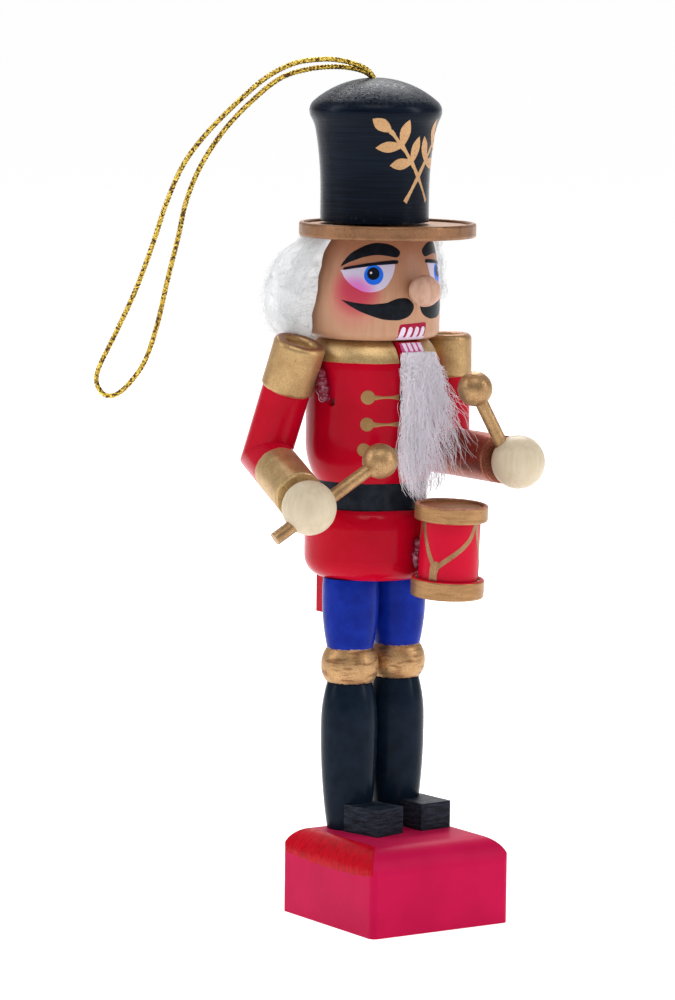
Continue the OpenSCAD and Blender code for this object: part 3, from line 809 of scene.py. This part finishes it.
def make_crown_paint():
    """Satin black with turning lines, a scuffed top lightened as painted highlight, and a dusty foot."""
    s = Shade("crown_paint", Roughness=0.28, Specular_IOR_Level=0.08)
    z = s.axes(s.place)[2]
    rings = s.noise(0.7, 3, 0.6, stretch=(14, 14, 0.35))
    scuff_and_highlight = s.times(s.step(z, CROWN_TOP - 4.5, CROWN_TOP - 2.5),
                    s.step(s.noise(0.5, 4, 0.7), 0.35, 0.7))
    dusty = s.times(s.step(z, CROWN_BOTTOM + 2.5, CROWN_BOTTOM),
                    s.step(s.noise(0.9, 4, 0.75), 0.6, 0.68))
    black = s.mix(s.step(rings, 0.3, 0.7), (0.002, 0.004, 0.010), (0.005, 0.010, 0.021))
    # Lighter blue-grey toward the top: real scuffs, and a painted highlight on the dome.
    black = s.mix(s.times(scuff_and_highlight, 0.5), black, (0.050, 0.062, 0.085))
    s.colour(s.mix(s.times(dusty, 0.3), black, (0.16, 0.18, 0.21)))
    s.rough(s.total(0.20, s.times(scuff_and_highlight, 0.16), s.times(rings, 0.12)))
    s.bump(s.total(s.times(rings, 0.7), s.times(scuff_and_highlight, 0.8), s.noise(1.4)), 0.03)
    return s.material


CROWN = Turned(crown_radius)
CROWN_DEGREE = math.radians(1) * 8.4
SPRIG_MIDDLE = 13


def leaf(root, tip, width):
    """Outline of a pointed leaf from its root to its tip."""
    root, tip = np.array(root, float), np.array(tip, float)
    along = tip - root
    across = np.array((-along[1], along[0])) / np.linalg.norm(along)
    shape = [(0.0, 0.12), (0.3, 0.42), (0.58, 0.5), (0.82, 0.3)]
    left = [root + along * t + across * width * w for t, w in shape]
    right = [root + along * t - across * width * w for t, w in reversed(shape)]
    return smooth_outline(left + [tip, tip] + right, 4)


def stem(points, width):
    """Outline of a narrow band along a few points."""
    points = np.array(points, float)
    along = np.gradient(points, axis=0)
    across = np.stack([-along[:, 1], along[:, 0]], axis=1)
    across /= np.linalg.norm(across, axis=1, keepdims=True)
    return list(points + across * width / 2) + list((points - across * width / 2)[::-1])


def make_sprigs():
    """Two crossed leafy sprigs in gold, each the other's mirror image."""
    flat = {"foot": (17.6, 107.0), "cross": (0, 110.7), "fork": (-10.7, 112.9), "fork_2": (-23.7, 115.3),
            "neck": (-36.6, 117.5)}
    flat = {k: np.array((a * CROWN_DEGREE, z)) for k, (a, z) in flat.items()}
    tips = [((-53.6, 119.3), "neck", 1.8), ((-19.4, 119.2), "fork_2", 1.65),
            ((-50.8, 115.0), "fork_2", 1.6), ((-3.6, 116.7), "fork", 1.55),
            ((-36, 112.4), "fork", 1.65)]
    marks = [("sprig_stem", stem([flat[k] for k in ("foot", "cross", "fork", "fork_2", "neck")], 0.72))]
    for i, ((a, z), root, width) in enumerate(tips):
        marks.append((f"sprig_leaf_{i + 1}", leaf(flat[root], (a * CROWN_DEGREE, z), width)))
    for flip, label in ((1, "right"), (-1, "left")):
        for j, (name, outline) in enumerate(marks):
            shape = [(flip * u + SPRIG_MIDDLE * CROWN_DEGREE, z) for u, z in outline]
            paint(f"{name}_{label}", [(u / CROWN_DEGREE, z) for u, z in shape], CROWN, sprig_gold,
                  lift=0.02, under=0.003 * j + (0.02 if flip < 0 else 0), scale=(CROWN_DEGREE, 1),
                  grid=0.28)


def make_sprig_gold():
    """Stencilled gold with ragged dark specks where the black shows through."""
    s = Shade("sprig_gold", Metallic=0.45, Roughness=0.45)
    base = s.mix(s.step(s.noise(0.2), 0.3, 0.7), (0.50, 0.27, 0.12), (0.60, 0.36, 0.17))
    s.colour(s.mix(s.step(s.noise(0.24), 0.68, 0.72), base, (0.03, 0.02, 0.02)))
    s.bump(s.noise(0.2), 0.02)
    return s.material


sprig_gold = make_sprig_gold()
assign("hat_crown", make_crown_paint())
brim_gold = make_gold_paint("brim_gold", dark=(0.07, 0.03, 0.013), mid=(0.25, 0.115, 0.055),
                            bright=(0.33, 0.17, 0.085))
assign("hat_brim", brim_gold)
make_sprigs()

raw_wood = make_bare_wood("dowel_wood", (0.70, 0.55, 0.36), (0.58, 0.42, 0.25))
assign("neck_dowel", raw_wood)
assign("hat_dowel", raw_wood)


# ---- arms

SHOULDER = {"right": (-13.6, 0.1, NECK - 0.9), "left": (13.95, 0, NECK - 0.1)}
ARM_POSE = {"right": (17, 10, -14), "left": (0, -1, -4)}
CAP_LENGTH = {"right": 7.0, "left": 6.4}
CAP_TOP = {"right": 0.75, "left": 0.0}
CUFF_START = {"right": 5.5, "left": 3.3}


def arm_frame(label):
    """The arm's own frame: upper arm down along -Z, forearm along -Y from the elbow."""
    a, b, c = (math.radians(v) for v in ARM_POSE[label])
    turn = Matrix.Rotation(c, 4, "Z") @ Matrix.Rotation(b, 4, "Y") @ Matrix.Rotation(a, 4, "X")
    return FIGURE @ Matrix.Translation(SHOULDER[label]) @ turn


def make_arm_paint(label, kind, cuff):
    """Red sleeve with a gold shoulder cap, or a gold cuff from a little below the elbow."""
    s = Shade(f"{kind}_paint_{label}", Roughness=0.3, Specular_IOR_Level=0.08, **PINK_RIM)
    _, y, z = s.axes(s.moved(arm_frame(label)))
    wobble = s.times(s.noise(1.6), 0.3)
    if kind == "upper_arm":
        gilt = s.step(s.total(z, wobble), 0.1 - CAP_LENGTH[label], 0.2 - CAP_LENGTH[label])
        top = s.step(s.total(z, wobble), CAP_TOP[label] - 0.15, CAP_TOP[label] + 0.1, 0.0, 0.9)
        gold_leaf = gold_paint(s, mid=(0.44, 0.27, 0.12), bright=(0.57, 0.39, 0.19))
        metal = s.mix(top, gold_leaf, (0.27, 0.125, 0.07))
    else:
        gilt = s.step(s.total(y, wobble), 0.2 - CUFF_START[label], 0.1 - CUFF_START[label])
        metal = cuff(s)
    s.colour(s.mix(gilt, red_paint(s), metal))
    s.metal(s.times(gilt, 0.75))
    s.rough(s.total(0.17, s.times(gilt, 0.22), s.times(s.noise(1.5), 0.08)))
    leaf_relief = s.times(s.noise(0.4, 3), gilt, 0.8)
    s.bump(paint_relief(s, leaf_relief), 0.04)
    return s.material


def coppery(s):
    return gold_paint(s, dark=(0.13, 0.018, 0.016), mid=(0.30, 0.075, 0.05), bright=(0.46, 0.22, 0.13))


for label, cuff in (("right", gold_paint), ("left", coppery)):
    assign(f"upper_arm_{label}", make_arm_paint(label, "upper_arm", cuff))
    assign(f"forearm_{label}", make_arm_paint(label, "forearm", cuff))
    assign(f"hand_{label}", make_bare_wood(f"hand_wood_{label}", (0.64, 0.54, 0.39), (0.59, 0.49, 0.34)))
stick_gold = make_gold_paint("stick_gold", relief=0.08, dark=(0.09, 0.042, 0.02), mid=(0.37, 0.20, 0.085),
                             bright=(0.54, 0.35, 0.17))
for label in ("right", "left"):
    assign(f"drumstick_{label}", stick_gold)
    assign(f"drumstick_ball_{label}", stick_gold)


# ---- drum

DRUM_TURN = 11
DRUM_LEAN = 3
DRUM_DISTANCE = 15.5
DRUM_DROP = 1.75  # the drum's foot below the hip
DRUM_HEIGHT = 13.85
RIM_LOW, RIM_HIGH = 2.6, 2.4  # heights of the drum's lower and upper rim
DRUM_FRAME = (FIGURE @ Matrix.Rotation(math.radians(DRUM_TURN), 4, "Z")
              @ Matrix.Translation((0, -DRUM_DISTANCE, HIP - DRUM_DROP + DRUM_HEIGHT / 2))
              @ Matrix.Rotation(math.radians(DRUM_LEAN), 4, "X"))


def make_drum_paint():
    """Red shell between gold rims, with bare end grain on the top."""
    s = Shade("drum_paint", Roughness=0.36, Specular_IOR_Level=0.1)
    place = s.moved(DRUM_FRAME)
    z = s.axes(place)[2]
    half = DRUM_HEIGHT / 2
    shell = s.times(s.step(z, RIM_LOW - half, RIM_LOW + 0.1 - half),
                    s.step(z, half - RIM_HIGH, half - RIM_HIGH - 0.1))
    grain = s.noise(0.6, 3, 0.6, stretch=(6, 6, 0.5), place=place)
    gilding = gold_paint(s, mid=(0.40, 0.21, 0.09), bright=(0.48, 0.28, 0.13))
    hoop = s.mix(s.step(grain, 0.35, 0.6, 0.35, 0.0), gilding, (0.20, 0.09, 0.04))
    rings = s.noise(0.6, 4, 0.65, stretch=(5, 0.6, 1), place=place)
    top = s.mix(s.step(rings, 0.35, 0.65), (0.52, 0.24, 0.16), (0.34, 0.13, 0.08))
    uneven = s.total(z, s.times(s.noise(0.7, 3, 0.6), 0.25))
    lid = s.step(uneven, half - 0.14, half - 0.04)
    s.colour(s.mix(lid, s.mix(shell, hoop, (0.58, 0.003, 0.027)), top))
    gilt = s.times(s.minus(1.0, shell), s.minus(1.0, lid))
    s.metal(s.times(gilt, 0.6))
    tear = s.times(rings, lid, 2.5)
    s.bump(paint_relief(s, s.times(grain, 0.6), tear), 0.04)
    return s.material


def make_drum_lines():
    """Painted gold tension lines: three Vs round the shell, each with a blot at its foot."""
    shell = Turned(lambda z: DRUM_SHELL_R, DRUM_FRAME)
    degree = math.radians(1) * DRUM_SHELL_R
    low, high = RIM_LOW + 0.2 - DRUM_HEIGHT / 2, DRUM_HEIGHT / 2 - RIM_HIGH - 0.05
    left = [(-29.4, 0), (-27.8, 1.7), (-19.1, 3.6), (-9.2, 5.3), (0, 6.5)]
    right = [(85, 0), (73.3, 2), (58.6, 3.3), (38.2, 4.6), (21.3, 5.6), (8, 6.5)]
    for i, middle in enumerate((-79, 41, 161)):
        for key, route in (("a", left), ("b", right)):
            path = open_curve([((middle + a) * degree, high - down, 0) for a, down in route], 0.4)[0]
            outline = [(u / degree, z) for u, z in stem(path[:, :2], 0.72)]
            paint(f"drum_line_{key}_{i + 1}", outline, shell, drum_gold, scale=(degree, 1), lift=0.03,
                  grid=0.25)
        blot = [(-9, low + 1.2), (-8, low + 2.1), (-3, low + 2.7), (6, low + 2.9), (11, low + 2.2),
                (7, low + 0.9), (8, low), (8, low), (-10, low), (-10, low)]
        outline = smooth_outline([(middle + a, z) for a, z in blot], 4)
        paint(f"drum_knot_{i + 1}", outline, shell, drum_gold, scale=(degree, 1), under=0.04)


drum_gold = make_gold_paint("drum_gold", dark=(0.13, 0.055, 0.025), mid=(0.31, 0.155, 0.07),
                            bright=(0.42, 0.25, 0.12))
assign("drum", make_drum_paint())
make_drum_lines()


# ---- fleece

def make_fleece(name, colour, glow):
    """Matt white fleece with a little glow for the light that real fibres let through."""
    s = Shade(name, Roughness=0.9, Specular_IOR_Level=0.1, Emission_Strength=glow,
              Emission_Color=(*colour, 1))
    s.colour(s.mix(s.noise(2.0, 3), tuple(c * 0.93 for c in colour), colour))
    s.bump(s.total(s.noise(0.35, 5, 0.75), s.times(s.noise(1.6, 3, 0.6), 1.5)), 0.06)
    return s.material


HAIR_LOW, HAIR_HIGH = NECK - 1.6, HEAD_TOP - 0.1
HAIR_ROOT = 10.0  # just outside the head
HAIR_ROUNDED = 26  # degrees over which the roll swells from its edge
HAIR_EDGE = [(85, 101), (88.9, 97), (93.8, 89.5), (98.3, 86), (100.6, 80), (101.7, 77)]


def hair_edge(z):
    """Angle from the front at which the fleece starts, at a height."""
    return float(np.interp(z, [p[0] for p in HAIR_EDGE], [p[1] for p in HAIR_EDGE]))


def hair_radius(z):
    """Outer radius of the roll of fleece at a height."""
    centre_z, reach = 92.2, 15.9
    roll = 8.2 if z < centre_z else 10.2
    return max(10.3, reach - roll + math.sqrt(max(0.0, roll * roll - (z - centre_z) ** 2)))


def hair_skin(u, v):
    """A point of the fleece's skin: u from the right edge to the left one, v up."""
    z = HAIR_LOW + (HAIR_HIGH - HAIR_LOW) * v
    edge = hair_edge(z) + 0.8 * math.sin(23 * v)
    angle = edge + (360 - 2 * edge) * u
    off = min(angle - edge, 360 - edge - angle)
    swell = math.sqrt(max(0.0, 1 - (1 - min(off / HAIR_ROUNDED, 1)) ** 2))
    r = HAIR_ROOT + (hair_radius(z) - HAIR_ROOT) * (0.10 + 0.90 * swell)
    a = math.radians(angle)
    return np.array((r * math.sin(a), -r * math.cos(a), z))


def hair_core(material):
    """The solid part of the roll, soft and lumpy like cotton wool."""
    across, up = 150, 44
    points, faces = [], []
    for j in range(up + 1):
        for i in range(across + 1):
            p = hair_skin(i / across, j / up)
            lump = (0.24 * math.sin(p[0] * 1.3 + p[2] * 0.9) * math.sin(p[1] * 1.1 - p[2] * 0.8)
                    + 0.07 * math.sin(p[0] * 3.1 + 1) * math.sin(p[2] * 2.1 + p[1] * 2.3))
            reach = math.hypot(p[0], p[1])
            out = np.array((p[0], p[1], 0)) / reach
            points.append(FIGURE @ Vector(p + out * lump * min(1, max(0, reach - 9.9))))
    row = across + 1
    for j in range(up):
        for i in range(across):
            a = j * row + i
            faces.append((a, a + 1, a + 1 + row, a + row))
    core = new_piece("hair_core", points, faces, material, "figure")
    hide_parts("hair")


def make_hair():
    material = make_fleece("hair_fleece", (0.86, 0.87, 0.88), 0.12)
    hair_core(material)
    count, length = 4400, 8
    paths = np.zeros((count, length, 3))
    for k in range(count):
        u, v = rng.uniform(0, 1), rng.uniform(0, 1)
        if k % 4 == 0:
            u = rng.choice((0, 1)) * 0.94 + 0.06 * u
        heading = rng.uniform(0, 6.28)
        run = rng.uniform(0.04, 0.13)
        loose = rng.uniform() ** 5
        wave = rng.uniform(0, 6.28, 2)
        for i in range(length):
            t = i / (length - 1)
            heading += rng.normal(0, 0.35)
            u = min(max(u + run * 0.4 * math.cos(heading) / length, 0), 1)
            v = min(max(v + run * 2.2 * math.sin(heading) / length, 0), 1)
            p = hair_skin(u, v)
            out = np.array((p[0], p[1], 0)) / math.hypot(p[0], p[1])
            puff = 0.15 + 0.5 * math.sin(3.1 * t) * (0.4 + loose) + 1.1 * loose * t
            sway = np.array((math.sin(wave[0] + 5 * t), math.cos(wave[1] + 4 * t), -loose * 6 * t))
            paths[k, i] = FIGURE @ Vector(p + out * puff + 0.12 * sway)
    radii = np.linspace(0.036, 0.018, length)[None, :] * rng.uniform(0.7, 1.2, (count, 1))
    fibres = strands("hair_fibres", paths, radii, material, "figure")


# The beard's two sides, from the top down, as height and X
BEARD_FROM = [(85, -2.5), (80, -2.5), (74, -2.8), (70, -3.0), (66, -2.2), (63.4, -0.8)]
BEARD_TO = [(85, 2.4), (80, 3.9), (74, 5.6), (70, 6.6), (66, 6.8), (63.4, 3.2)]
BEARD_TOP = 84.7
BEARD_POINTS = 20  # along a fibre


def beard_strand(place, end, loose):
    """One crimped fibre: place 0 to 1 across the beard at its root, end its lowest height."""
    depth = -rng.uniform(10.2, 11.9)
    stray = loose * rng.uniform() ** 2 * (1 if rng.uniform() < 0.8 else -0.4)
    phase = rng.uniform(0, 6.28, 4)
    slow, fast = rng.uniform(2, 5), rng.uniform(12, 34)
    wide, crimp = rng.uniform(0.3, 1.2), rng.uniform(0.1, 0.36)
    drift = rng.normal(0, 0.28)
    path = []
    for t in (i / (BEARD_POINTS - 1) for i in range(BEARD_POINTS)):
        z = BEARD_TOP + (end - BEARD_TOP) * t
        near, far = (np.interp(-z, [-p[0] for p in side], [p[1] for p in side])
                     for side in (BEARD_FROM, BEARD_TO))
        share = min(max(place + drift * t, 0), 1)
        x = near + (far - near) * share + stray * 4.5 * t * t
        x += wide * t * math.sin(phase[0] + slow * t * 2) + crimp * math.sin(phase[1] + fast * t)
        y = depth - 0.5 * t + 0.35 * math.sin(phase[2] + slow * t) - abs(stray) * 1.5 * t
        y += crimp * math.cos(phase[1] + fast * t)
        path.append(FIGURE @ Vector((x, y, z + 0.4 * math.sin(phase[3] + fast * t * 0.5))))
    return path


def beard_strands(count, place, ends, loose):
    """Many fibres: place() draws where one starts, ends are the limits of its lowest height."""
    return [beard_strand(place(), rng.uniform(*ends), loose) for _ in range(count)]


def make_beard():
    """A tuft of fleece that hangs from the jaw, denser on the figure's right."""
    material = make_fleece("beard_fleece", (0.82, 0.78, 0.84), 0.10)
    paths = beard_strands(460, lambda: min(max(rng.normal(0.24, 0.15), 0), 0.6), (63.2, 68), 0.3)
    paths += beard_strands(260, lambda: rng.uniform(0.2, 1), (66.5, 78), 1.0)
    paths += beard_strands(220, lambda: rng.uniform(0, 1), (71, 79), 0.4)
    paths += beard_strands(600, lambda: rng.uniform(0, 1), (79.5, 82.5), 0.1)
    radii = np.linspace(0.042, 0.022, BEARD_POINTS)[None, :] * rng.uniform(0.7, 1.2, (len(paths), 1))
    tuft = strands("beard_tuft", np.array(paths), radii, material, None)
    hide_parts("beard")
    return tuft


make_hair()
beard = make_beard()
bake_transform(beard)


# ---- glue

glue = Shade("dried_glue", Roughness=0.12, Transmission_Weight=0.3, IOR=1.45)
clots = glue.step(glue.noise(1.1, 3, 0.7), 0.5, 0.72)
glue.colour(glue.mix(clots, (0.22, 0.006, 0.03), (0.62, 0.28, 0.38)))
glue.bump(glue.noise(0.7), 0.05)
assign("shoulder_glue", glue.material)
assign("drum_glue", glue.material)


# ---- floor and light

def make_floor():
    mesh = bpy.data.meshes.new("floor")
    reach = 60
    mesh.from_pydata([(-reach, -reach, 0), (reach, -reach, 0), (reach, reach, 0), (-reach, reach, 0)], [],
                     [(0, 1, 2, 3)])
    floor = in_scene("floor", mesh)
    s = Shade("floor", Roughness=0.9, Specular_IOR_Level=0.0, Emission_Strength=0.78,
              Emission_Color=(1, 1, 1, 1))
    s.colour((0.7, 0.7, 0.7))
    mesh.materials.append(s.material)


def softbox(name, azimuth, elevation, distance, size, power):
    """A rectangular area light aimed at the figure's middle."""
    data = bpy.data.lights.new(name, "AREA")
    data.shape = "RECTANGLE"
    data.size, data.size_y = size
    data.energy = power
    light = in_scene(name, data)
    a, e = math.radians(azimuth), math.radians(elevation)
    away = Vector((math.sin(a) * math.cos(e), -math.cos(a) * math.cos(e), math.sin(e)))
    light.location = Vector((0, 0, 0.065)) + away * distance
    light.rotation_euler = away.to_track_quat("Z", "Y").to_euler()


def make_world():
    """A white backdrop that lights the figure less than its brightness would."""
    world = bpy.data.worlds.new("studio")
    world.use_nodes = True
    tree = world.node_tree
    soft = tree.nodes["Background"]
    soft.inputs["Color"].default_value = (1, 1, 1, 1)
    soft.inputs["Strength"].default_value = 0.3
    backdrop = tree.nodes.new("ShaderNodeBackground")
    backdrop.inputs["Color"].default_value = (1, 1, 1, 1)
    seen = tree.nodes.new("ShaderNodeLightPath")
    either = tree.nodes.new("ShaderNodeMixShader")
    tree.links.new(seen.outputs["Is Camera Ray"], either.inputs["Fac"])
    tree.links.new(soft.outputs["Background"], either.inputs[1])
    tree.links.new(backdrop.outputs["Background"], either.inputs[2])
    tree.links.new(either.outputs["Shader"], tree.nodes["World Output"].inputs["Surface"])
    bpy.context.scene.world = world


def make_light():
    make_world()
    softbox("softbox_left", -115, 28, 0.8, (0.22, 0.6), 1.8)
    softbox("softbox_right", 42, 25, 0.9, (0.16, 0.6), 2.4)
    softbox("softbox_top", -34, 58, 0.8, (0.5, 0.2), 1.6)
    softbox("softbox_back", 150, 46, 0.8, (0.5, 0.28), 4.4)
    softbox("backdrop", 146, 6, 1.0, (1.6, 1.1), 3.5)
    bpy.context.scene.view_settings.view_transform = "Standard"


make_floor()
make_light()
